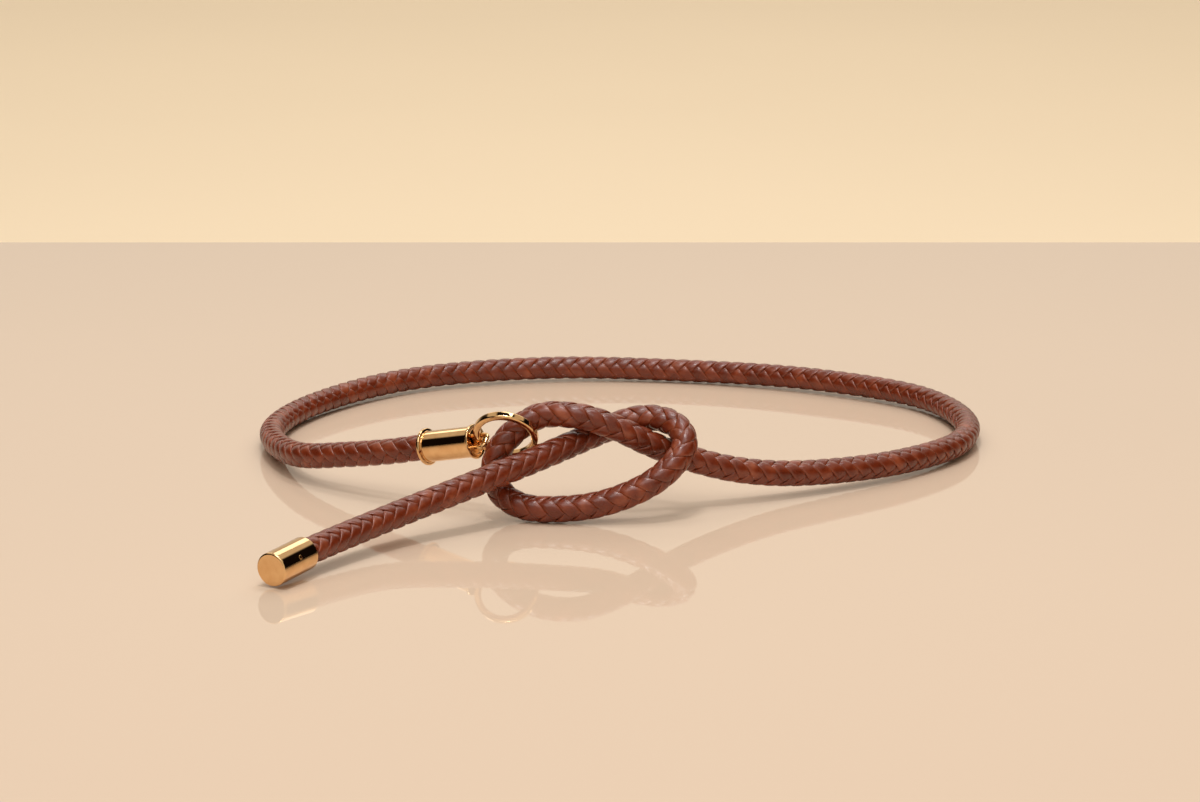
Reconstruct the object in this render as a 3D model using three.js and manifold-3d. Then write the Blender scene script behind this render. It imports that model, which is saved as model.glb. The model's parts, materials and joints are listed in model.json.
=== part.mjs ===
// A round braided leather cord belt, closed by its own overhand knot.
// One end of the cord is fixed in a ferrule that holds a ring. The other end passes through the ring,
// is knotted round the belt and ends in a cap. All sizes are in millimetres, +Z is up, and the belt
// lies on the plane Z = 0 with the knot towards -Y.

import * as THREE from "three";
import { mergeVertices } from "three/addons/utils/BufferGeometryUtils.js";
import Module from "manifold-3d";

// ---- driving dimensions -------------------------------------------------------------------------

const CORD_DIAMETER = 10;
const CORE_DIAMETER = 5.6;
const CLEARANCE = 0.3; // kept between solids that touch on the real belt

const FERRULE_MOUTH = new THREE.Vector3(-74.9, -51.7, 22.3); // where the cord enters the ferrule
const FERRULE_END = new THREE.Vector3(-55.1, -63.3, 27.2); // centre of the face that holds the ring
const BARREL_DIAMETER = 12.0;
const BARREL_BORE = 9.8;
const MOUTH_FLANGE = { diameter: 14.4, thickness: 1.5, round: 0.6 };
const END_FLANGE = { diameter: 13.4, thickness: 1.2, round: 0.4 };

const PLATE_THICKNESS = 2.0;
const PLATE_RECESS = 0.3;

const BAIL_WIRE = 1.7;
const BAIL_HALF_WIDTH = 2.95; // from the ferrule's axis to the middle of each leg
const BAIL_REACH = 4.5; // from the ferrule's end face to the middle of the crossbar
const BAIL_CORNER = 1.8;
const BAIL_DEPTH = 4.5; // how far the legs go behind the end face

const RING_OUTER_DIAMETER = 25.0;
const RING_THICKNESS = 2.6; // measured along a radius
const RING_WIDTH = 3.1; // measured along the ring's own axis
const RING_ROUND = 0.8;
const RING_STAND_OFF = 1.85; // from the ferrule's end face to the middle of the ring's section
const RING_NORMAL = new THREE.Vector3(0.14, 0.78, 0.6).normalize(); // the way its hole faces

const CAP_MOUTH = new THREE.Vector3(-113.6, -156.3, 8.0); // where the cord enters the end cap
const CAP_FACE = new THREE.Vector3(-123.9, -174.2, 6.7); // centre of the cap's flat end
const CAP_DIAMETER = 12.4;
const CAP_BORE = 10.6;
const CAP_END_THICKNESS = 1.8;
const CAP_ROUND = 0.7;
const CAP_TUCK = 5; // how far the braid goes into the cap

const WHIPPING_DIAMETER = 9.0;
const WHIPPING_LENGTH = 8;
const THREAD_PITCH = 1.0;

const PIN_DIAMETER = 1.6;
const PIN_PROUD = 0.15;
const PIN_DIRECTION = new THREE.Vector3(0.77, -0.5, 0.39); // roughly outward; squared to the cap below

const MOST_STEP = 2 * CORD_DIAMETER; // cord steps on gentle curves
const LEAST_STEP = 6.5; // cord steps round the tightest bends
const STEP_PER_BEND_RADIUS = 0.5;

// The middle line of the cord, from the ferrule's mouth to the end cap's mouth: once round the
// waist, then the overhand knot through the ring, then the loose tail.
const ROUTE = [
  [-74.9, -51.7, 22.3],
  [-89, -43.8, 18.6],
  [-107, -31.3, 14.4],
  [-127, -11, 9.4],
  [-143, 46, 5.5],
  [-131, 96, 5.4],
  [-91, 147.5, 5.8],
  [-32, 170.5, 5.8],
  [30, 167.5, 5.2],
  [85, 147.5, 5.7],
  [130, 111, 5.6],
  [144.4, 65, 5.4],
  [137, 24, 5.6],
  [112, -9, 6.3],
  [84, -30, 7.5],
  [60, -43.3, 9.8],
  [41, -52, 14],
  [23.2, -58.2, 20.3],
  [10, -63.4, 26.8],
  [-3, -66.7, 33.7],
  [-17, -67, 38],
  [-31, -64.8, 37.4],
  [-40.6, -67.4, 31.9],
  [-46.6, -69.9, 24.7],
  [-48.2, -72.2, 16.9],
  [-45.3, -75.4, 9.9],
  [-38, -78.9, 5.9],
  [-27, -81.2, 5.05],
  [-8, -81.6, 7.2],
  [10, -79.8, 14],
  [19.8, -75.3, 21],
  [24.2, -69, 27.4],
  [21.6, -61.9, 32.6],
  [13.6, -56.8, 34.8],
  [4, -54.8, 33.7],
  [-6, -56.8, 30.2],
  [-29.6, -72.8, 23.6],
  [-58, -94, 16.8],
  [-86, -118, 11],
  [-113.6, -156.3, 8],
].map(([x, y, z]) => new THREE.Vector3(x, y, z));

// ---- materials ----------------------------------------------------------------------------------

const leather = new THREE.MeshStandardMaterial({ color: 0x6b3422, roughness: 0.5, metalness: 0 });
const cotton = new THREE.MeshStandardMaterial({ color: 0xcfc3ac, roughness: 0.9, metalness: 0 });
const thread = new THREE.MeshStandardMaterial({ color: 0x4a2418, roughness: 0.8, metalness: 0 });
const gold = new THREE.MeshStandardMaterial({ color: 0xe0b27c, roughness: 0.12, metalness: 1 });
const brass = new THREE.MeshStandardMaterial({ color: 0xc39a5c, roughness: 0.3, metalness: 1 });

// ---- helpers ------------------------------------------------------------------------------------

const wasm = await Module();
wasm.setup();

function toSolid(geometry) {
  const bare = geometry.clone();
  bare.deleteAttribute("normal");
  bare.deleteAttribute("uv");
  const merged = mergeVertices(bare, 1e-4);
  return new wasm.Manifold(
    new wasm.Mesh({
      numProp: 3,
      vertProperties: merged.attributes.position.array,
      triVerts: new Uint32Array(merged.index.array),
    }),
  );
}

function toGeometry(solid) {
  const mesh = solid.getMesh();
  const geometry = new THREE.BufferGeometry();
  geometry.setAttribute("position", new THREE.BufferAttribute(mesh.vertProperties, 3));
  geometry.setIndex(new THREE.BufferAttribute(mesh.triVerts, 1));
  geometry.computeVertexNormals();
  return geometry;
}

function named(name, geometry, material) {
  const mesh = new THREE.Mesh(geometry, material);
  mesh.name = name;
  return mesh;
}

// Points of a quarter circle of the given radius, from one angle to the other, in turns of 90 degrees.
function quarter(x, y, radius, fromTurns, steps = 3) {
  return Array.from({ length: steps + 1 }, (_, i) => {
    const angle = (fromTurns + i / steps) * (Math.PI / 2);
    return [x + radius * Math.cos(angle), y + radius * Math.sin(angle)];
  });
}

// A body of revolution about Y. The profile lists [radius, y] anticlockwise and closes on itself.
function turned(profile, segments = 32) {
  const points = [...profile, profile[0]].map(([x, y]) => new THREE.Vector2(x, y));
  return new THREE.LatheGeometry(points, segments);
}

// A frame whose Y axis runs along the given direction and whose X axis lies as near as it can to across.
function frameAt(origin, direction, across) {
  const y = direction.clone().normalize();
  const x = across.clone().addScaledVector(y, -across.dot(y)).normalize();
  const z = new THREE.Vector3().crossVectors(x, y);
  const group = new THREE.Group();
  group.quaternion.setFromRotationMatrix(new THREE.Matrix4().makeBasis(x, y, z));
  group.position.copy(origin);
  return group;
}

// ---- the cord -----------------------------------------------------------------------------------

const ferruleAxis = FERRULE_END.clone().sub(FERRULE_MOUTH);
const ferruleLength = ferruleAxis.length();
ferruleAxis.normalize();
const capAxis = CAP_FACE.clone().sub(CAP_MOUTH);
const capLength = capAxis.length();
capAxis.normalize();

const CORE_IN_FERRULE = WHIPPING_LENGTH + 3;
const CORE_IN_CAP = CAP_TUCK + WHIPPING_LENGTH + 2;

// The whole middle line, with a straight stretch inside each fitting.
const middleLine = new THREE.CatmullRomCurve3([
  FERRULE_MOUTH.clone().addScaledVector(ferruleAxis, CORE_IN_FERRULE),
  ...ROUTE,
  CAP_MOUTH.clone().addScaledVector(capAxis, CORE_IN_CAP),
]);
middleLine.arcLengthDivisions = 2000;
const middleLength = middleLine.getLength();

// Distances along the middle line at which the cord takes a step: far apart on gentle curves and
// closer together round the bends of the knot.
function stationsBetween(start, end) {
  const stations = [start];
  const reach = 3;
  let at = start;
  while (end - at > LEAST_STEP) {
    const before = middleLine.getTangentAt(Math.max(at - reach, 0) / middleLength);
    const after = middleLine.getTangentAt(Math.min(at + 2 * reach, middleLength) / middleLength);
    const bendRadius = (3 * reach) / Math.max(before.angleTo(after), 1e-3);
    const step = THREE.MathUtils.clamp(bendRadius * STEP_PER_BEND_RADIUS, LEAST_STEP, MOST_STEP);
    at = Math.min(at + step, end);
    if (end - at > LEAST_STEP / 2) stations.push(at);
  }
  stations.push(end);
  return stations;
}

const sheathStations = stationsBetween(
  CORE_IN_FERRULE + CLEARANCE,
  middleLength - (CORE_IN_CAP - CAP_TUCK),
);
const coreStations = [0, ...sheathStations, middleLength];

// A stretch of the middle line that an ExtrudeGeometry follows station by station.
class Stretch extends THREE.Curve {
  constructor(stations) {
    super();
    this.stations = stations;
    this.steps = stations.length - 1;
  }
  getPoint(t, target = new THREE.Vector3()) {
    const place = t * this.steps;
    const index = Math.min(Math.floor(place), this.steps - 1);
    const along = THREE.MathUtils.lerp(
      this.stations[index],
      this.stations[index + 1],
      place - index,
    );
    return middleLine.getPointAt(along / middleLength, target);
  }
  getUtoTmapping(u) {
    return u;
  }
}

function circlePath(radius, sides, kind = THREE.Shape) {
  const points = Array.from({ length: sides }, (_, i) => {
    const angle = (i / sides) * 2 * Math.PI;
    return new THREE.Vector2(radius * Math.cos(angle), radius * Math.sin(angle));
  });
  return new kind(points);
}

function sweep(section, path, steps) {
  return new THREE.ExtrudeGeometry(section, { steps, extrudePath: path, bevelEnabled: false });
}

function cordCore() {
  const stretch = new Stretch(coreStations);
  const section = circlePath(CORE_DIAMETER / 2, 8);
  return named("cord_core", sweep(section, stretch, stretch.steps), cotton);
}

// The sleeve of braided laces, as one plain tube round the core.
function braidedSheath() {
  const stretch = new Stretch(sheathStations);
  const section = circlePath(CORD_DIAMETER / 2, 12);
  section.holes.push(circlePath(CORE_DIAMETER / 2 + 2 * CLEARANCE, 8, THREE.Path));
  return named("braided_sheath", sweep(section, stretch, stretch.steps), leather);
}

// The thread bound round each end of the core, as a sleeve with one ridge for each turn.
function whipping(name, from) {
  const inner = CORE_DIAMETER / 2 + CLEARANCE;
  const outer = WHIPPING_DIAMETER / 2;
  const turns = Math.round(WHIPPING_LENGTH / THREAD_PITCH);
  const ridges = Array.from({ length: turns }, (_, i) => [
    [outer - THREAD_PITCH / 4, from + i * THREAD_PITCH],
    [outer, from + (i + 0.5) * THREAD_PITCH],
  ]).flat();
  const profile = [[inner, from], ...ridges];
  profile.push([outer - THREAD_PITCH / 4, from + WHIPPING_LENGTH]);
  profile.push([inner, from + WHIPPING_LENGTH]);
  return named(name, turned(profile, 20), thread);
}

// ---- the ferrule, its bail and the ring ---------------------------------------------------------

function ferruleBarrel() {
  const bore = BARREL_BORE / 2;
  const barrel = BARREL_DIAMETER / 2;
  const mouth = MOUTH_FLANGE.diameter / 2;
  const end = END_FLANGE.diameter / 2;
  const profile = [
    [bore, 0],
    ...quarter(mouth - MOUTH_FLANGE.round, MOUTH_FLANGE.round, MOUTH_FLANGE.round, -1),
    ...quarter(
      mouth - MOUTH_FLANGE.round,
      MOUTH_FLANGE.thickness - MOUTH_FLANGE.round,
      MOUTH_FLANGE.round,
      0,
    ),
    [barrel, MOUTH_FLANGE.thickness],
    [barrel, ferruleLength - END_FLANGE.thickness],
    ...quarter(
      end - END_FLANGE.round,
      ferruleLength - END_FLANGE.thickness + END_FLANGE.round,
      END_FLANGE.round,
      -1,
    ),
    ...quarter(end - END_FLANGE.round, ferruleLength - END_FLANGE.round, END_FLANGE.round, 0),
    [bore, ferruleLength],
  ];
  return named("ferrule_barrel", turned(profile, 40), gold);
}

// The disc that closes the ferrule's end, with a hole for each leg of the bail.
function ferruleEndPlate() {
  const section = circlePath(BARREL_BORE / 2 - CLEARANCE, 32);
  for (const side of [-1, 1]) {
    const hole = new THREE.Path();
    hole.absarc(side * BAIL_HALF_WIDTH, 0, BAIL_WIRE / 2 + CLEARANCE, 0, 2 * Math.PI);
    section.holes.push(hole);
  }
  const geometry = new THREE.ExtrudeGeometry(section, {
    depth: PLATE_THICKNESS,
    bevelEnabled: false,
    curveSegments: 8,
  });
  const plate = named("ferrule_end_plate", geometry, gold);
  plate.rotation.x = -Math.PI / 2;
  plate.position.y = ferruleLength - PLATE_RECESS - PLATE_THICKNESS;
  return plate;
}

// The fixed wire staple in the ferrule's end that the ring hangs from.
function ringBail() {
  const top = ferruleLength + BAIL_REACH;
  const foot = ferruleLength - BAIL_DEPTH;
  const cornerX = BAIL_HALF_WIDTH - BAIL_CORNER;
  const cornerY = top - BAIL_CORNER;
  const halfLoop = [
    [BAIL_HALF_WIDTH, foot],
    [BAIL_HALF_WIDTH, ferruleLength],
    ...quarter(cornerX, cornerY, BAIL_CORNER, 0),
  ];
  const otherHalf = halfLoop.map(([x, y]) => [-x, y]).reverse();
  const points = [...halfLoop, ...otherHalf].map(([x, y]) => new THREE.Vector3(x, y, 0));
  const path = new THREE.CatmullRomCurve3(points);
  return named("ring_bail", sweep(circlePath(BAIL_WIRE / 2, 10), path, 30), gold);
}

function ring() {
  const outer = RING_OUTER_DIAMETER / 2;
  const inner = outer - RING_THICKNESS;
  const half = RING_WIDTH / 2;
  const r = RING_ROUND;
  const profile = [
    ...quarter(inner + r, half - r, r, 1),
    ...quarter(inner + r, r - half, r, 2),
    ...quarter(outer - r, r - half, r, 3),
    ...quarter(outer - r, half - r, r, 0),
  ];
  const mesh = named("ring", turned(profile, 40), gold);
  mesh.rotation.z = Math.PI / 2;
  mesh.position.y = outer - RING_THICKNESS / 2;
  return mesh;
}

// ---- the end cap --------------------------------------------------------------------------------

function endCap() {
  const bore = CAP_BORE / 2;
  const outer = CAP_DIAMETER / 2;
  const floor = capLength - CAP_END_THICKNESS;
  const profile = [
    [0, floor],
    [bore, floor],
    [bore, 0],
    ...quarter(outer - CAP_ROUND / 2, CAP_ROUND / 2, CAP_ROUND / 2, -1),
    ...quarter(outer - CAP_ROUND, capLength - CAP_ROUND, CAP_ROUND, 0),
    [0, capLength],
  ].map(([x, y]) => new THREE.Vector2(x, y));
  const shell = new THREE.LatheGeometry(profile, 40);
  const hole = new THREE.CylinderGeometry(
    PIN_DIAMETER / 2 + CLEARANCE,
    PIN_DIAMETER / 2 + CLEARANCE,
    CAP_DIAMETER,
    16,
  );
  hole.rotateZ(Math.PI / 2);
  hole.translate(CAP_DIAMETER / 2 + 1, capLength / 2, 0);
  return named("end_cap", toGeometry(toSolid(shell).subtract(toSolid(hole))), gold);
}

// The small set pin in the cap's wall, with a slightly domed head.
function capPin() {
  const tip = WHIPPING_DIAMETER / 2 + CLEARANCE;
  const head = CAP_DIAMETER / 2 + PIN_PROUD;
  const profile = [
    [0, tip],
    [PIN_DIAMETER / 2, tip],
    [PIN_DIAMETER / 2, head - 2 * PIN_PROUD],
    [PIN_DIAMETER / 3, head - PIN_PROUD / 2],
    [0, head],
  ].map(([x, y]) => new THREE.Vector2(x, y));
  const pin = named("cap_pin", new THREE.LatheGeometry(profile, 16), brass);
  pin.rotation.z = -Math.PI / 2;
  pin.position.y = capLength / 2;
  return pin;
}

// ---- assembly -----------------------------------------------------------------------------------

const belt = new THREE.Group();
belt.add(cordCore(), braidedSheath());

const ferrule = frameAt(FERRULE_MOUTH, ferruleAxis, RING_NORMAL);
ferrule.add(ferruleBarrel(), ferruleEndPlate(), ringBail());
ferrule.add(whipping("ferrule_whipping", CORE_IN_FERRULE - WHIPPING_LENGTH - 1));
belt.add(ferrule);

// The ring turns about the middle of its own section, inside the bail.
const ringPivot = new THREE.Group();
ringPivot.position.y = ferruleLength + RING_STAND_OFF;
ringPivot.rotation.z = Math.asin(RING_NORMAL.dot(ferruleAxis));
ringPivot.add(ring());
ferrule.add(ringPivot);

const cap = frameAt(CAP_MOUTH, capAxis, PIN_DIRECTION);
cap.add(endCap(), capPin(), whipping("cap_whipping", CAP_TUCK + CLEARANCE));
belt.add(cap);

export default belt;
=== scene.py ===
"""The looks of a round braided leather belt, tied in an overhand knot through its own ring.

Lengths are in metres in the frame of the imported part: the belt lies on Z = 0 with the knot towards -Y.
"""

import json
import math

import bmesh
import bpy
import numpy as np
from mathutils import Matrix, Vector


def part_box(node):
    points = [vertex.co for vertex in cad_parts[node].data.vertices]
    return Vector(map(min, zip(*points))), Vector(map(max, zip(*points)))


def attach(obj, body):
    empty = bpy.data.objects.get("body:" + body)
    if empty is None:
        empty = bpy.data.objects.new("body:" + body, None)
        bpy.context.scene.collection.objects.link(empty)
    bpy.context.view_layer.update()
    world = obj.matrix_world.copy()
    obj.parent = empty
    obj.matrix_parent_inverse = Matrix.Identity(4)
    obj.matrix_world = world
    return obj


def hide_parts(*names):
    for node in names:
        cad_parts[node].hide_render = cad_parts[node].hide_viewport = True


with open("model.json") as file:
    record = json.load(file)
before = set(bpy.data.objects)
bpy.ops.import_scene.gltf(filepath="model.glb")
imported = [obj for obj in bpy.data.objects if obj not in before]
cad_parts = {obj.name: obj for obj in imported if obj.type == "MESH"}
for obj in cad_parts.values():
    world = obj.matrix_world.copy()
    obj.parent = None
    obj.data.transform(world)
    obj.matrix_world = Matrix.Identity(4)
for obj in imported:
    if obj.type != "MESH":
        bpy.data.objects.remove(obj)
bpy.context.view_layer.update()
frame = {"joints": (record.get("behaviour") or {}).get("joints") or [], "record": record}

MM = 0.001
rng = np.random.default_rng(7)

# ---- camera -------------------------------------------------------------------------------------

CAMERA_HEIGHT = 0.3415
CAMERA_PLACE = (-0.008, -1.399, CAMERA_HEIGHT)
CAMERA_DOWN = 12.6  # degrees below the horizontal
CAMERA_LENS = 108  # on a sensor 36 wide

camera_data = bpy.data.cameras.new("camera")
camera_data.lens = CAMERA_LENS
camera_data.sensor_width = 36
camera = bpy.data.objects.new("camera", camera_data)
camera.location = CAMERA_PLACE
camera.rotation_euler = (math.radians(90 - CAMERA_DOWN), 0, 0)
bpy.context.scene.collection.objects.link(camera)
bpy.context.scene.camera = camera

# ---- driving sizes ------------------------------------------------------------------------------

CORE_IN_FERRULE = 11 * MM  # how far the core goes past each fitting's mouth
CORE_IN_CAP = 15 * MM
BRAID_IN_FERRULE = 2.5 * MM
BRAID_IN_CAP = 5 * MM
BAIL_REACH = 4.5 * MM  # from the ferrule's end face to the bail's crossbar
RING_STAND_OFF = 1.85 * MM  # from that face to the middle of the ring's section

# The cord's middle line from the ferrule's mouth to the end cap's mouth, in metres.
ROUTE = [
    (-0.0749, -0.0517, 0.0223),
    (-0.089, -0.0438, 0.0186),
    (-0.107, -0.0313, 0.0144),
    (-0.127, -0.011, 0.0094),
    (-0.143, 0.046, 0.0055),
    (-0.131, 0.096, 0.0054),
    (-0.091, 0.1475, 0.0058),
    (-0.032, 0.1705, 0.0058),
    (0.03, 0.1675, 0.0052),
    (0.085, 0.1475, 0.0057),
    (0.13, 0.111, 0.0056),
    (0.1444, 0.065, 0.0054),
    (0.137, 0.024, 0.0056),
    (0.112, -0.009, 0.0063),
    (0.084, -0.03, 0.0075),
    (0.06, -0.0433, 0.0098),
    (0.041, -0.052, 0.014),
    (0.0232, -0.0582, 0.0203),
    (0.01, -0.0634, 0.0268),
    (-0.003, -0.0667, 0.0337),
    (-0.017, -0.067, 0.038),
    (-0.031, -0.0648, 0.0374),
    (-0.0406, -0.0674, 0.0319),
    (-0.0466, -0.0699, 0.0247),
    (-0.0482, -0.0722, 0.0169),
    (-0.0453, -0.0754, 0.0099),
    (-0.038, -0.0789, 0.0059),
    (-0.027, -0.0812, 0.00505),
    (-0.008, -0.0816, 0.0072),
    (0.01, -0.0798, 0.014),
    (0.0198, -0.0753, 0.021),
    (0.0242, -0.069, 0.0274),
    (0.0216, -0.0619, 0.0326),
    (0.0136, -0.0568, 0.0348),
    (0.004, -0.0548, 0.0337),
    (-0.006, -0.0568, 0.0302),
    (-0.0296, -0.0728, 0.0236),
    (-0.058, -0.094, 0.0168),
    (-0.086, -0.118, 0.011),
    (-0.1136, -0.1563, 0.008),
]

# ---- places worked out from the frame -----------------------------------------------------------

joint = frame["joints"][0]
crossbar_centre = Vector(joint["pos_m"])
crossbar_way = Vector(joint["axis"]).normalized()
ferrule_mouth = Vector(ROUTE[0])
ferrule_axis = (crossbar_centre - ferrule_mouth).normalized()
ferrule_length = (crossbar_centre - ferrule_mouth).length - BAIL_REACH
ferrule_face = ferrule_mouth + ferrule_axis * ferrule_length

cap_mount = next(m for m in frame["record"]["mounts"] if m["name"] == "end_cap_face")
cap_face = Vector(cap_mount["pos_m"])
cap_mouth = Vector(ROUTE[-1])
cap_axis = (cap_face - cap_mouth).normalized()
cap_length = (cap_face - cap_mouth).length

# ---- mesh helpers -------------------------------------------------------------------------------


def make_mesh(name, vertices, faces, material, body):
    """A smooth-shaded piece that rides on a body of the frame."""
    mesh = bpy.data.meshes.new(name)
    mesh.from_pydata([tuple(v) for v in vertices], [], faces)
    turned = bmesh.new()
    turned.from_mesh(mesh)
    bmesh.ops.recalc_face_normals(turned, faces=turned.faces)
    turned.to_mesh(mesh)
    turned.free()
    mesh.shade_smooth()
    mesh.materials.append(material)
    piece = bpy.data.objects.new(name, mesh)
    bpy.context.scene.collection.objects.link(piece)
    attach(piece, body)
    return piece


def tube_faces(rings, sides, first=0):
    """Quads between successive rings of points, with a flat face over each end."""
    faces = []
    for k in range(rings - 1):
        for j in range(sides):
            a = first + k * sides + j
            b = first + k * sides + (j + 1) % sides
            faces.append((a, b, b + sides, a + sides))
    faces.append(tuple(first + j for j in reversed(range(sides))))
    faces.append(tuple(first + (rings - 1) * sides + j for j in range(sides)))
    return faces


def basis(way, across):
    """Three unit vectors: across made square to way, way itself, and their cross product."""
    y = Vector(way).normalized()
    x = (Vector(across) - y * Vector(across).dot(y)).normalized()
    return x, y, x.cross(y)


def quarter(x, y, radius, from_turns, steps=6):
    """Points of a quarter circle, its start angle counted in turns of 90 degrees."""
    angles = [(from_turns + i / steps) * math.pi / 2 for i in range(steps + 1)]
    return [(x + radius * math.cos(a), y + radius * math.sin(a)) for a in angles]


def lathe(name, profile, origin, way, across, material, body, segments=96):
    """A closed profile of (radius, distance) turned about way; points on the axis are shared."""
    x, y, z = basis(way, across)
    vertices, rows = [], []
    for radius, distance in profile:
        centre = Vector(origin) + y * distance
        if radius == 0:
            rows.append([len(vertices)] * segments)
            vertices.append(centre)
            continue
        rows.append(list(range(len(vertices), len(vertices) + segments)))
        for k in range(segments):
            angle = 2 * math.pi * k / segments
            vertices.append(centre + (x * math.cos(angle) + z * math.sin(angle)) * radius)
    faces = []
    for a, b in zip(rows, rows[1:] + rows[:1]):
        for k in range(segments):
            n = (k + 1) % segments
            corners = list(dict.fromkeys((a[k], b[k], b[n], a[n])))
            if len(corners) > 2:
                faces.append(corners)
    return make_mesh(name, vertices, faces, material, body)


# ---- the cord's middle line ---------------------------------------------------------------------


def smooth_line(points, steps):
    """A centripetal Catmull-Rom curve, the same as the one the part's cord follows."""
    p = [np.array(v, float) for v in points]
    p = [2 * p[0] - p[1], *p, 2 * p[-1] - p[-2]]
    line = []
    for p0, p1, p2, p3 in zip(p, p[1:], p[2:], p[3:]):
        d0, d1, d2 = (
            np.linalg.norm(b - a) ** 0.5 for a, b in ((p0, p1), (p1, p2), (p2, p3))
        )
        t1 = ((p1 - p0) / d0 - (p2 - p0) / (d0 + d1) + (p2 - p1) / d1) * d1
        t2 = ((p2 - p1) / d1 - (p3 - p1) / (d1 + d2) + (p3 - p2) / d2) * d1
        for k in range(steps):
            t = k / steps
            bend = -3 * p1 + 3 * p2 - 2 * t1 - t2
            line.append(p1 + t1 * t + bend * t**2 + (2 * p1 - 2 * p2 + t1 + t2) * t**3)
    line.append(p[-2])
    return np.array(line)


def unit(v):
    return v / np.linalg.norm(v, axis=-1, keepdims=True)


LINE_STEP = 0.25 * MM
LEVEL_AT = 0.32  # share of the line at which the side direction is level

whole_route = [
    tuple(ferrule_mouth + ferrule_axis * CORE_IN_FERRULE),
    *ROUTE,
    tuple(cap_mouth + cap_axis * CORE_IN_CAP),
]
rough = smooth_line(whole_route, 60)
rough_at = np.concatenate([[0], np.cumsum(np.linalg.norm(np.diff(rough, axis=0), axis=1))])
line_at = np.arange(0, rough_at[-1], LINE_STEP)
line = np.stack([np.interp(line_at, rough_at, rough[:, k]) for k in range(3)], 1)
line_way = unit(np.gradient(line, axis=0))


def carried_sides(ways, start):
    """A side direction for every point, carried along the line without twisting about it."""
    sides = np.zeros_like(ways)
    level = np.cross(ways[start], (0, 0, 1))
    sides[start] = level / np.linalg.norm(level)
    for order in (range(start + 1, len(ways)), range(start - 1, -1, -1)):
        last = sides[start]
        for i in order:
            last = last - ways[i] * last.dot(ways[i])
            last = last / np.linalg.norm(last)
            sides[i] = last
    return sides


line_side = carried_sides(line_way, int(LEVEL_AT * len(line)))
line_rise = np.cross(line_way, line_side)
START = CORE_IN_FERRULE  # distances along the line of the two mouths
END = line_at[-1] - CORE_IN_CAP


def on_cord(at, angle, radius):
    """Points at distances, angles and radii about the cord's middle line."""
    c, u, v = (
        np.stack([np.interp(at, line_at, part[:, k]) for k in range(3)], -1)
        for part in (line, line_side, line_rise)
    )
    return c + radius[..., None] * (np.cos(angle)[..., None] * u + np.sin(angle)[..., None] * v)


# ---- materials ----------------------------------------------------------------------------------


class Nodes:
    """A few lines of shorthand for a material's node tree."""

    def __init__(self, name):
        self.material = bpy.data.materials.new(name)
        self.material.use_nodes = True
        self.tree = self.material.node_tree
        self.shader = self.tree.nodes["Principled BSDF"]
        self.place = self.add("ShaderNodeTexCoord").outputs["Object"]

    def add(self, kind, **settings):
        node = self.tree.nodes.new(kind)
        for key, value in settings.items():
            setattr(node, key, value)
        return node

    def link(self, source, target):
        self.tree.links.new(source, target)

    def noise(self, scale, detail=4, roughness=0.55, stretch=None, source=None):
        node = self.add("ShaderNodeTexNoise")
        node.inputs["Scale"].default_value = scale
        node.inputs["Detail"].default_value = detail
        node.inputs["Roughness"].default_value = roughness
        source = source or self.place
        if stretch:
            mapping = self.add("ShaderNodeMapping")
            mapping.inputs["Scale"].default_value = stretch
            self.link(source, mapping.inputs["Vector"])
            source = mapping.outputs["Vector"]
        self.link(source, node.inputs["Vector"])
        return node.outputs["Fac"]

    def math(self, operation, a, b):
        node = self.add("ShaderNodeMath", operation=operation)
        for socket, value in zip(node.inputs, (a, b)):
            if isinstance(value, (int, float)):
                socket.default_value = value
            else:
                self.link(value, socket)
        return node.outputs[0]

    def ramp(self, source, *stops):
        node = self.add("ShaderNodeValToRGB")
        elements = node.color_ramp.elements
        while len(elements) < len(stops):
            elements.new(0.5)
        for element, (position, colour) in zip(elements, stops):
            element.position = position
            element.color = (*colour, 1)
        self.link(source, node.inputs["Fac"])
        return node.outputs["Color"]

    def span(self, source, low, high, from_low=0.0, from_high=1.0):
        node = self.add("ShaderNodeMapRange")
        node.inputs["From Min"].default_value = from_low
        node.inputs["From Max"].default_value = from_high
        node.inputs["To Min"].default_value = low
        node.inputs["To Max"].default_value = high
        self.link(source, node.inputs["Value"])
        return node.outputs["Result"]

    def mix(self, share, a, b):
        node = self.add("ShaderNodeMix", data_type="RGBA")
        for socket, value in ((node.inputs["Factor"], share), (node.inputs[6], a), (node.inputs[7], b)):
            if isinstance(value, (int, float)):
                socket.default_value = value
            elif isinstance(value, tuple):
                socket.default_value = (*value, 1)
            else:
                self.link(value, socket)
        return node.outputs[2]

    def bump(self, height, strength, distance, under=None):
        node = self.add("ShaderNodeBump")
        node.inputs["Strength"].default_value = strength
        node.inputs["Distance"].default_value = distance
        self.link(height, node.inputs["Height"])
        if under is not None:
            self.link(under, node.inputs["Normal"])
        return node.outputs["Normal"]

    def set(self, **values):
        for key, value in values.items():
            socket = self.shader.inputs[key.replace("_", " ")]
            if hasattr(value, "node"):
                self.link(value, socket)
            else:
                socket.default_value = value


def srgb(*values):
    """A colour given as 0 to 255 in sRGB, as linear light."""
    shares = [v / 255 for v in values]
    return tuple(s / 12.92 if s <= 0.04045 else ((s + 0.055) / 1.055) ** 2.4 for s in shares)


LEATHER = srgb(126, 50, 23)
LEATHER_DEEP = srgb(101, 37, 16)
LEATHER_WORN = srgb(170, 90, 58)
# Painted shade: a near-black brown laid where a lace dives under its neighbours, darkening the crevices
# between facets.
LEATHER_CREVICE_SHADE = srgb(40, 15, 9)


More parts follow.
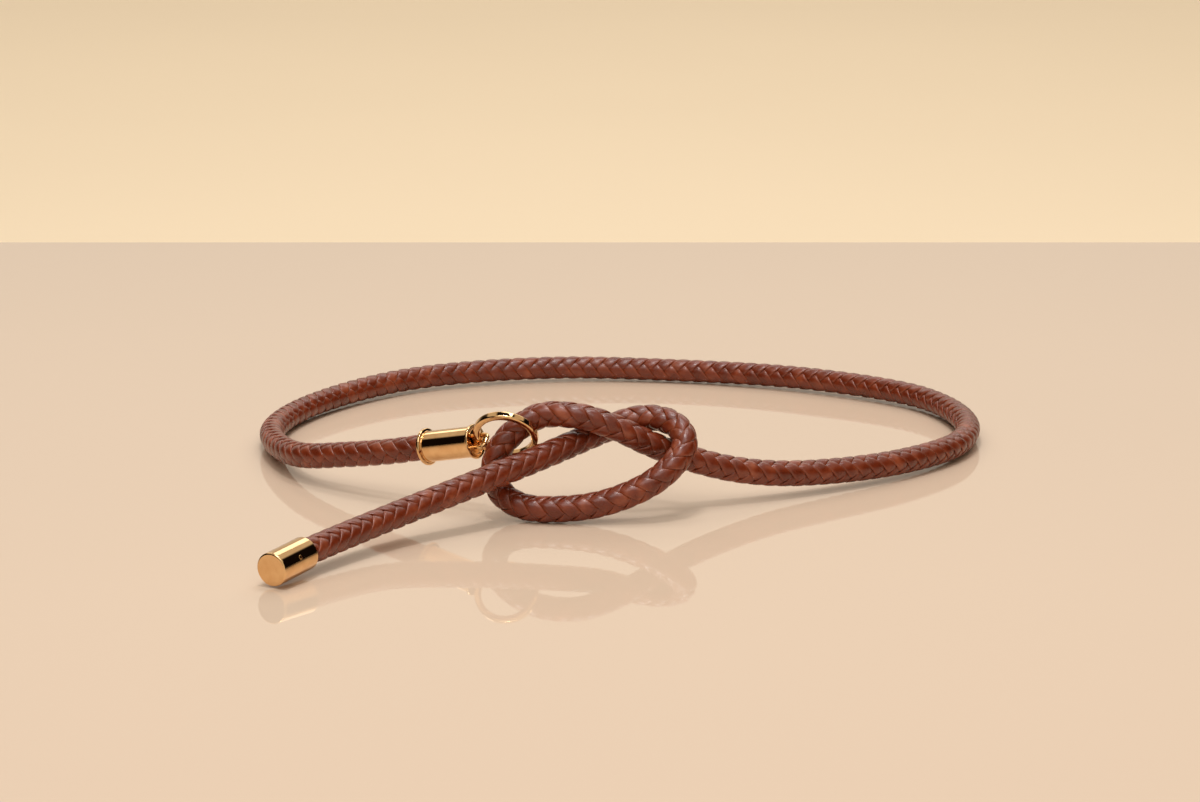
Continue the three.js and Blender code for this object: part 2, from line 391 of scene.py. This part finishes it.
def leather_material():
    n = Nodes("braided_leather")
    info = n.add("ShaderNodeAttribute", attribute_name="lace")
    split = n.add("ShaderNodeSeparateColor")
    n.link(info.outputs["Color"], split.inputs["Color"])
    shade, edge, tuck_shade = split.outputs
    uv = n.add("ShaderNodeUVMap", uv_map="lace").outputs["UV"]
    cloudy = n.noise(160, detail=3)
    colour = n.ramp(cloudy, (0.3, LEATHER_DEEP), (0.52, LEATHER), (0.8, LEATHER_WORN))
    colour = n.mix(n.span(shade, 0.0, 0.55), colour, LEATHER_DEEP)
    worn_edge = n.math("MULTIPLY", n.span(edge, 0, 0.5, 0.62, 0.95), n.noise(700, detail=2))
    colour = n.mix(worn_edge, colour, LEATHER_WORN)
    # Painted shade: each lace is darkened towards black where it dives under the crossing laces, so the
    # crevices read shaded.
    crevice_shade = n.span(tuck_shade, 0, 0.92, 0.35, 0.95)
    colour = n.mix(crevice_shade, colour, LEATHER_CREVICE_SHADE)
    creases = n.noise(9, detail=5, roughness=0.6, stretch=(14, 2.0, 1), source=uv)
    pores = n.add("ShaderNodeTexVoronoi", feature="DISTANCE_TO_EDGE")
    pores.inputs["Scale"].default_value = 1900
    n.link(n.place, pores.inputs["Vector"])
    grain = n.span(pores.outputs["Distance"], 0, 1, 0, 0.25)
    fine = n.bump(grain, 0.16, 0.05 * MM)
    normal = n.bump(creases, 0.22, 0.12 * MM, under=fine)
    rough = n.math("ADD", n.span(cloudy, 0.20, 0.31), n.math("MULTIPLY", creases, 0.06))
    n.set(Base_Color=colour, Roughness=rough, Normal=normal)
    n.set(Specular_IOR_Level=0.5, Coat_Weight=0.16, Coat_Roughness=0.2)
    return n.material


def metal_material(name, colour, deep, roughness):
    """Polished plate: faint brushed turning marks, tiny scratches and a cloud of slight wear."""
    n = Nodes(name)
    cloud = n.noise(220, detail=5)
    scratches = n.noise(500, detail=6, roughness=0.7, stretch=(1, 9, 2))
    tone = n.ramp(cloud, (0.3, deep), (0.6, colour))
    rough = n.math("ADD", n.span(cloud, roughness * 0.8, roughness * 1.3, 0.3, 0.8),
                   n.span(scratches, 0, 0.05, 0.55, 0.85))
    n.set(Base_Color=tone, Roughness=rough, Normal=n.bump(scratches, 0.05, 0.01 * MM))
    n.set(Metallic=1.0)
    return n.material


def cotton_material():
    n = Nodes("core_cotton")
    fibres = n.noise(2600, detail=5, roughness=0.7, stretch=(1, 1, 3))
    colour = n.ramp(fibres, (0.3, srgb(176, 164, 140)), (0.7, srgb(216, 206, 184)))
    n.set(Base_Color=colour, Roughness=0.92, Normal=n.bump(fibres, 0.5, 0.1 * MM), Sheen_Weight=0.3)
    return n.material


def thread_material():
    n = Nodes("whipping_thread")
    fibres = n.noise(3200, detail=4, roughness=0.6)
    colour = n.ramp(fibres, (0.3, srgb(58, 26, 17)), (0.7, srgb(88, 42, 28)))
    n.set(Base_Color=colour, Roughness=n.span(fibres, 0.5, 0.7), Normal=n.bump(fibres, 0.4, 0.05 * MM))
    return n.material


GOLD = srgb(236, 197, 146)
GOLD_DEEP = srgb(224, 180, 128)
leather = leather_material()
cotton = cotton_material()
thread = thread_material()
gold = metal_material("gold_plate", GOLD, GOLD_DEEP, 0.055)
brass = metal_material("pin_brass", srgb(214, 168, 104), srgb(190, 142, 84), 0.2)

# ---- the braid ----------------------------------------------------------------------------------

LEAD = 24.8 * MM  # one turn of a lace round the cord
CROSSING = LEAD / 8
LACES_EACH_WAY = 4
LACE_WIDTH = 4.65 * MM
LACE_STEP = LEAD / 30
MIDDLE_RADIUS = 3.86 * MM
WEAVE_DEPTH = 0.6 * MM  # half the difference between a lace's outer and inner courses
WEAVE_SHARPNESS = 1.7
LACE_RADIUS = 4.4 * MM  # where a lace's width is measured round the cord
WEAVE_TURN = math.radians(2.5)  # puts a row of facets 20 degrees off the side direction

# A lace's cross-section as (share of half the width, height above its middle in millimetres).
LACE_TOP = [(-1, 0), (-0.96, 0.32), (-0.8, 0.5), (-0.35, 0.62), (0.35, 0.62), (0.8, 0.5),
            (0.96, 0.32), (1, 0)]
LACE_UNDER = [(0.8, -0.46), (-0.8, -0.46)]
LACE_SECTION = LACE_TOP + LACE_UNDER

GRIPPED = 0.925  # the cord's thickness where the ferrule grips it, as a share of its full one
GRIP_FADE = 6 * MM  # how far it takes to swell to full thickness
GRIP_LEAD = 1 * MM  # how far inside the mouth that starts
GRAIN_LENGTH = 10 * MM  # length of lace for one unit of its creases' pattern
GRAIN_SHIFT = 3.7  # sets each lace's creases apart from its neighbour's


def course(phase):
    """1 where a lace is outside and -1 where it is inside. The phase counts crossings: 0 and 1 are over."""
    wave = np.cos((phase - 0.5) * math.pi / 2)
    return np.tanh(WEAVE_SHARPNESS * wave) / math.tanh(WEAVE_SHARPNESS)


def lace(hand, index, start, end):
    """One lace's points, ring by ring, with what its material reads: shade, edge, and how far the lace
    dives under, which drives the painted crevice shade.
    """
    at = np.arange(start, end, LACE_STEP)
    count = (at - START) / CROSSING
    turn = hand * 2 * math.pi * (at - START) / LEAD + index * math.pi / 2 - WEAVE_TURN
    phase = count + 2 * index if hand > 0 else count - 2 * index + 3
    level = course(phase)
    radius = MIDDLE_RADIUS + WEAVE_DEPTH * level
    slope = math.atan(2 * math.pi * LACE_RADIUS / LEAD)
    across = np.array([s for s, _ in LACE_SECTION]) * LACE_WIDTH / 2
    height = np.array([h for _, h in LACE_SECTION]) * MM
    along = at[:, None] - hand * across * math.sin(slope)
    angle = turn[:, None] + across * math.cos(slope) / LACE_RADIUS
    waist = mouth_squeeze(at)[:, None]
    points = on_cord(along, angle, (radius[:, None] + height) * waist)
    shades = rng.random(int(count[-1] - count[0]) // 2 + 6)
    floats = np.clip(((phase + 1) // 4).astype(int) - int((phase[0] + 1) // 4), 0, len(shades) - 1)
    sides = len(LACE_SECTION)
    shade = np.repeat(shades[floats][:, None], sides, 1)
    edge = np.broadcast_to(np.abs([s for s, _ in LACE_SECTION]), shade.shape)
    # How far the lace is tucked under; the material uses it only for painted crevice shade.
    tuck_shade = np.broadcast_to((0.5 - level / 2)[:, None], shade.shape)
    distance = at / math.cos(slope)
    return points, np.stack([shade, edge, tuck_shade], -1), distance


def mouth_squeeze(at):
    """The cord's thickness as a share of its full one: a little less where the ferrule grips it."""
    t = np.clip((at - START + GRIP_LEAD) / GRIP_FADE, 0, 1)
    return GRIPPED + (1 - GRIPPED) * t * t * (3 - 2 * t)


def braided_cord():
    vertices, faces, facts, uvs = [], [], [], []
    sides = len(LACE_SECTION)
    start, end = START - BRAID_IN_FERRULE, END + BRAID_IN_CAP
    for hand in (1, -1):
        for index in range(LACES_EACH_WAY):
            points, info, distance = lace(hand, index, start, end)
            rings = len(points)
            first = len(vertices)
            faces.extend(tube_faces(rings, sides, first))
            vertices.extend(points.reshape(-1, 3))
            facts.extend(info.reshape(-1, 3))
            places = np.linspace(0, 1, sides)
            offset = (index + (hand > 0) * LACES_EACH_WAY) * GRAIN_SHIFT
            uvs.extend((p, d / GRAIN_LENGTH + offset) for d in distance for p in places)
    piece = make_mesh("braided_cord", vertices, faces, leather, "belt")
    mesh = piece.data
    colours = mesh.color_attributes.new("lace", "FLOAT_COLOR", "POINT")
    colours.data.foreach_set("color", np.c_[np.array(facts), np.ones(len(facts))].ravel())
    layer = mesh.uv_layers.new(name="lace")
    corner = np.zeros(len(mesh.loops), int)
    mesh.loops.foreach_get("vertex_index", corner)
    layer.data.foreach_set("uv", np.array(uvs)[corner].ravel())
    return piece


cord = braided_cord()
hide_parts("braided_sheath")

# ---- the core and the whippings -----------------------------------------------------------------


def wound(name, material, body, start, end, radius, thread_radius, pitch, strands, step, sides=8):
    """Threads of one thickness wound round the cord's middle line."""
    vertices, faces = [], []
    for strand in range(strands):
        at = np.append(np.arange(start, end, step), end)
        angle = 2 * math.pi * ((at - start) / pitch + strand / strands)
        centres = on_cord(at, angle, np.full(len(at), radius))
        ways = unit(np.gradient(centres, axis=0))
        middles = on_cord(at, angle, np.zeros(len(at)))
        out = unit(centres - middles)
        cross = unit(np.cross(ways, out))
        turn = np.linspace(0, 2 * math.pi, sides, endpoint=False)
        ring = centres[:, None] + thread_radius * (
            np.cos(turn)[None, :, None] * out[:, None] + np.sin(turn)[None, :, None] * cross[:, None]
        )
        faces.extend(tube_faces(len(at), sides, len(vertices)))
        vertices.extend(ring.reshape(-1, 3))
    return make_mesh(name, vertices, faces, material, body)


CORE_END_GAP = 0.5 * MM
YARN_OFFSET = 1.25 * MM  # from the cord's middle line to each yarn's
YARN_RADIUS = 1.2 * MM
YARN_PITCH = 14 * MM
YARNS = 4
YARN_STEP = 1.6 * MM

core = wound("twisted_core", cotton, "belt", CORE_END_GAP, line_at[-1] - CORE_END_GAP,
             YARN_OFFSET, YARN_RADIUS, YARN_PITCH, YARNS, YARN_STEP)
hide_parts("cord_core")

WHIPPING_LENGTH = 8 * MM
WHIPPING_OFFSET = 3.5 * MM  # from the cord's middle line to the thread's
WHIPPING_SET_IN = 3 * MM  # from the ferrule's mouth to the near end of its whipping
THREAD_RADIUS = 0.5 * MM
THREAD_STEP = 0.05 * MM

for whipping_name, whipping_start in (
    ("ferrule_whipping_thread", CORE_IN_FERRULE - WHIPPING_LENGTH - WHIPPING_SET_IN + 2 * THREAD_RADIUS),
    ("cap_whipping_thread", END + BRAID_IN_CAP + 2 * THREAD_RADIUS),
):
    whipping = wound(whipping_name, thread, "belt", whipping_start,
                     whipping_start + WHIPPING_LENGTH - 3 * THREAD_RADIUS,
                     WHIPPING_OFFSET, THREAD_RADIUS, 2 * THREAD_RADIUS, 1, THREAD_STEP)
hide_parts("ferrule_whipping")
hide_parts("cap_whipping")

# ---- the ferrule, its bail and the ring ---------------------------------------------------------


def finished(piece):
    """Keeps flat faces flat to the eye beside their rounded edges."""
    normals = piece.modifiers.new("normals", "WEIGHTED_NORMAL")
    normals.keep_sharp = False
    normals.weight = 90
    return piece


def on_ferrule(name, profile):
    """A gold piece turned about the ferrule's own axis, with distances counted from its mouth."""
    return finished(
        lathe(name, profile, ferrule_mouth, ferrule_axis, crossbar_way, gold, "belt")
    )


# Radii, lengths along the axis, and the rounding of each edge.
BORE, MOUTH_LIP, END_LIP = 4.9 * MM, 0.4 * MM, 0.15 * MM
BARREL = 6.0 * MM
MOUTH_RIM, MOUTH_RIM_LENGTH, MOUTH_ROUND = 7.2 * MM, 1.5 * MM, 0.6 * MM
END_RIM, END_RIM_LENGTH, END_ROUND = 6.7 * MM, 1.2 * MM, 0.42 * MM
FILLET = 0.25 * MM
PLATE_THICKNESS, PLATE_RECESS, PLATE_GAP, PLATE_ROUND = 2 * MM, 0.3 * MM, 0.04 * MM, 0.3 * MM


def ferrule_barrel():
    end_step = ferrule_length - END_RIM_LENGTH
    profile = [
        *quarter(BORE + MOUTH_LIP, MOUTH_LIP, MOUTH_LIP, 2, 3),
        *quarter(MOUTH_RIM - MOUTH_ROUND, MOUTH_ROUND, MOUTH_ROUND, 3),
        *quarter(MOUTH_RIM - MOUTH_ROUND, MOUTH_RIM_LENGTH - MOUTH_ROUND, MOUTH_ROUND, 0),
        *reversed(quarter(BARREL + FILLET, MOUTH_RIM_LENGTH + FILLET, FILLET, 2, 4)),
        *reversed(quarter(BARREL + FILLET, end_step - FILLET, FILLET, 1, 4)),
        *quarter(END_RIM - END_ROUND, end_step + END_ROUND, END_ROUND, 3),
        *quarter(END_RIM - END_ROUND, ferrule_length - END_ROUND, END_ROUND, 0),
        *quarter(BORE + END_LIP, ferrule_length - END_LIP, END_LIP, 1, 2),
    ]
    return on_ferrule("ferrule", profile)


def ferrule_plate():
    top = ferrule_length - PLATE_RECESS
    edge = BORE - PLATE_GAP
    profile = [
        (0, top - PLATE_THICKNESS),
        (edge, top - PLATE_THICKNESS),
        *quarter(edge - PLATE_ROUND, top - PLATE_ROUND, PLATE_ROUND, 0, 4),
        (0, top),
    ]
    return on_ferrule("ferrule_plate", profile)


BAIL_WIRE = 0.85 * MM  # its radius
BAIL_HALF_WIDTH = 2.95 * MM
BAIL_CORNER = 1.8 * MM
BAIL_DEPTH = 4.5 * MM


def tube_along(name, points, radius, sides, material, body):
    ways = unit(np.gradient(points, axis=0))
    side = carried_sides(ways, 0)
    rise = np.cross(ways, side)
    turn = np.linspace(0, 2 * math.pi, sides, endpoint=False)[None, :, None]
    rings = points[:, None] + radius * (np.cos(turn) * side[:, None] + np.sin(turn) * rise[:, None])
    return make_mesh(name, rings.reshape(-1, 3), tube_faces(len(points), sides), material, body)


def ferrule_bail():
    x, y, _ = basis(ferrule_axis, crossbar_way)
    top = ferrule_length + BAIL_REACH
    half = [
        (BAIL_HALF_WIDTH, ferrule_length - BAIL_DEPTH),
        (BAIL_HALF_WIDTH, ferrule_length),
        *quarter(BAIL_HALF_WIDTH - BAIL_CORNER, top - BAIL_CORNER, BAIL_CORNER, 0, 5),
    ]
    outline = half + [(-a, b) for a, b in reversed(half)]
    points = smooth_line([ferrule_mouth + x * a + y * b for a, b in outline], 8)
    return tube_along("ring_loop", points, BAIL_WIRE, 24, gold, "belt")


RING_RADIUS = 12.5 * MM
RING_THICKNESS = 2.6 * MM
RING_HALF_WIDTH = 1.55 * MM
RING_ROUND = 0.85 * MM


def swinging_ring():
    low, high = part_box("ring")
    centre = (Vector(low) + Vector(high)) / 2
    held_at = ferrule_face + ferrule_axis * RING_STAND_OFF
    across = centre - held_at
    _, _, hole_way = basis(across, crossbar_way.cross(across))
    inner = RING_RADIUS - RING_THICKNESS
    r = RING_ROUND
    profile = [
        *quarter(RING_RADIUS - r, RING_HALF_WIDTH - r, r, 0),
        *quarter(inner + r, RING_HALF_WIDTH - r, r, 1),
        *quarter(inner + r, r - RING_HALF_WIDTH, r, 2),
        *quarter(RING_RADIUS - r, r - RING_HALF_WIDTH, r, 3),
    ]
    ring = lathe("ring_finished", profile, centre, hole_way, across, gold, "ring", 128)
    return finished(ring)


barrel = ferrule_barrel()
plate = ferrule_plate()
bail = ferrule_bail()
ring = swinging_ring()
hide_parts("ferrule_barrel")
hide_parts("ferrule_end_plate")
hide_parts("ring_bail")
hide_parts("ring")

# ---- the end cap --------------------------------------------------------------------------------

CAP_RADIUS = 6.2 * MM
CAP_BORE = 5.3 * MM
CAP_FLOOR = 1.8 * MM
CAP_ROUND = 0.7 * MM
PIN_RADIUS = 0.8 * MM
PIN_PROUD = 0.15 * MM
PIN_WAY = Vector((0.77, -0.5, 0.39))


def end_cap():
    floor = cap_length - CAP_FLOOR
    lip = (CAP_RADIUS - CAP_BORE) / 2
    profile = [
        (0, floor),
        (CAP_BORE, floor),
        *quarter(CAP_BORE + lip, lip, lip, 2, 5),
        *quarter(CAP_RADIUS - lip, lip, lip, 3, 5),
        *quarter(CAP_RADIUS - CAP_ROUND, cap_length - CAP_ROUND, CAP_ROUND, 0),
        (0, cap_length),
    ]
    return finished(lathe("cap", profile, cap_mouth, cap_axis, PIN_WAY, gold, "belt"))


def cap_pin():
    out, along, _ = basis(cap_axis, PIN_WAY)
    head = CAP_RADIUS + PIN_PROUD
    dome = [(PIN_RADIUS * math.cos(a), head - PIN_PROUD + PIN_PROUD * math.sin(a))
            for a in np.linspace(0, math.pi / 2, 6)[:-1]]
    profile = [(0, CAP_BORE), (PIN_RADIUS, CAP_BORE), *dome, (0, head)]
    origin = cap_mouth + along * cap_length / 2
    return finished(lathe("pin", profile, origin, out, along, brass, "belt", 32))


cap = end_cap()
pin = cap_pin()
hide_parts("end_cap")
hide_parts("cap_pin")

# ---- the table, the wall and the light ----------------------------------------------------------

TABLE_BACK = 0.523
TABLE_TOP = -0.1 * MM
WALL_DROP = 4 * MM


def plane(name, low, high, height, material):
    corners = [(low[0], low[1]), (high[0], low[1]), (high[0], high[1]), (low[0], high[1])]
    mesh = bpy.data.meshes.new(name)
    mesh.from_pydata([(x, y, height) for x, y in corners], [], [(0, 1, 2, 3)])
    mesh.materials.append(material)
    made = bpy.data.objects.new(name, mesh)
    bpy.context.scene.collection.objects.link(made)


def stage_material(name, colour, roughness, ior):
    n = Nodes(name)
    cloud = n.noise(2.0, detail=2)
    tone = n.ramp(cloud, (0.3, tuple(c * 0.985 for c in colour)), (0.7, colour))
    n.set(Base_Color=tone, Roughness=roughness, IOR=ior)
    return n.material


plane("table", (-3, -3), (3, TABLE_BACK), TABLE_TOP,
      stage_material("table_gloss", srgb(229, 204, 180), 0.015, 1.33))
plane("backdrop", (-6, -6), (6, 6), TABLE_TOP - WALL_DROP,
      stage_material("backdrop_matte", srgb(243, 222, 191), 0.9, 1.02))


def area_light(name, place, target, size, power):
    data = bpy.data.lights.new(name, "AREA")
    data.shape = "RECTANGLE"
    data.size, data.size_y = size
    data.energy = power
    light = bpy.data.objects.new(name, data)
    light.location = place
    light.rotation_euler = (Vector(target) - Vector(place)).to_track_quat("-Z", "Y").to_euler()
    light.visible_camera = False
    bpy.context.scene.collection.objects.link(light)


area_light("key", (-0.25, -1.15, 1.75), (0, 0, 0), (1.5, 1.0), 10)
area_light("sparkle", (-0.1, -0.35, 1.9), (0, 0, 0), (0.35, 0.25), 9)
area_light("top", (0.2, 0.35, 1.9), (0, 0, 0), (1.1, 0.6), 10)
area_light("wall_wash", (0, 1.9, 1.6), (0, 1.6, 0), (3.0, 0.8), 11.5)

STUDIO_PALE = srgb(254, 240, 219)
STUDIO_DARK = srgb(24, 18, 14)
STUDIO_STRENGTH = 0.65

# Where the dark parts of the studio start and are fully dark, as parts of the direction's unit vector.
FLAGS_FOOT = (-0.03, 0.02)
FLAGS_TOP = (0.66, 0.58)
FLAGS_INNER_EDGE = (0.55, 0.7)
CEILING_EDGE = (0.88, 0.93)


def studio_world():
    """A pale studio with a dark flag on each side and a dark ceiling, for contrast in the metal."""
    world = bpy.data.worlds.new("studio")
    world.use_nodes = True
    tree = world.node_tree
    way = tree.nodes.new("ShaderNodeTexCoord").outputs["Generated"]

    def share(source, low, high):
        node = tree.nodes.new("ShaderNodeMapRange")
        node.interpolation_type = "SMOOTHSTEP"
        node.inputs["From Min"].default_value = low
        node.inputs["From Max"].default_value = high
        tree.links.new(source, node.inputs["Value"])
        return node.outputs["Result"]

    def times(a, b):
        node = tree.nodes.new("ShaderNodeMath")
        node.operation = "MULTIPLY"
        tree.links.new(a, node.inputs[0])
        tree.links.new(b, node.inputs[1])
        return node.outputs[0]

    def dot(vector):
        node = tree.nodes.new("ShaderNodeVectorMath")
        node.operation = "DOT_PRODUCT"
        node.inputs[1].default_value = vector
        tree.links.new(way, node.inputs[0])
        return node.outputs["Value"]

    up = dot((0, 0, 1))
    low = times(share(up, *FLAGS_FOOT), share(up, *FLAGS_TOP))
    sideways = tree.nodes.new("ShaderNodeMath")
    sideways.operation = "ABSOLUTE"
    tree.links.new(dot((1, 0, 0)), sideways.inputs[0])
    sides = times(low, share(sideways.outputs[0], *FLAGS_INNER_EDGE))
    both = tree.nodes.new("ShaderNodeMath")
    both.operation = "MAXIMUM"
    tree.links.new(sides, both.inputs[0])
    tree.links.new(share(up, *CEILING_EDGE), both.inputs[1])
    mix = tree.nodes.new("ShaderNodeMix")
    mix.data_type = "RGBA"
    tree.links.new(both.outputs[0], mix.inputs["Factor"])
    mix.inputs[6].default_value = (*STUDIO_PALE, 1)
    mix.inputs[7].default_value = (*STUDIO_DARK, 1)
    background = tree.nodes["Background"]
    tree.links.new(mix.outputs[2], background.inputs["Color"])
    background.inputs["Strength"].default_value = STUDIO_STRENGTH
    return world


bpy.context.scene.world = studio_world()
bpy.context.scene.view_settings.view_transform = "Standard"

# ---- last update --------------------------------------------------------------------------------

bpy.context.view_layer.update()
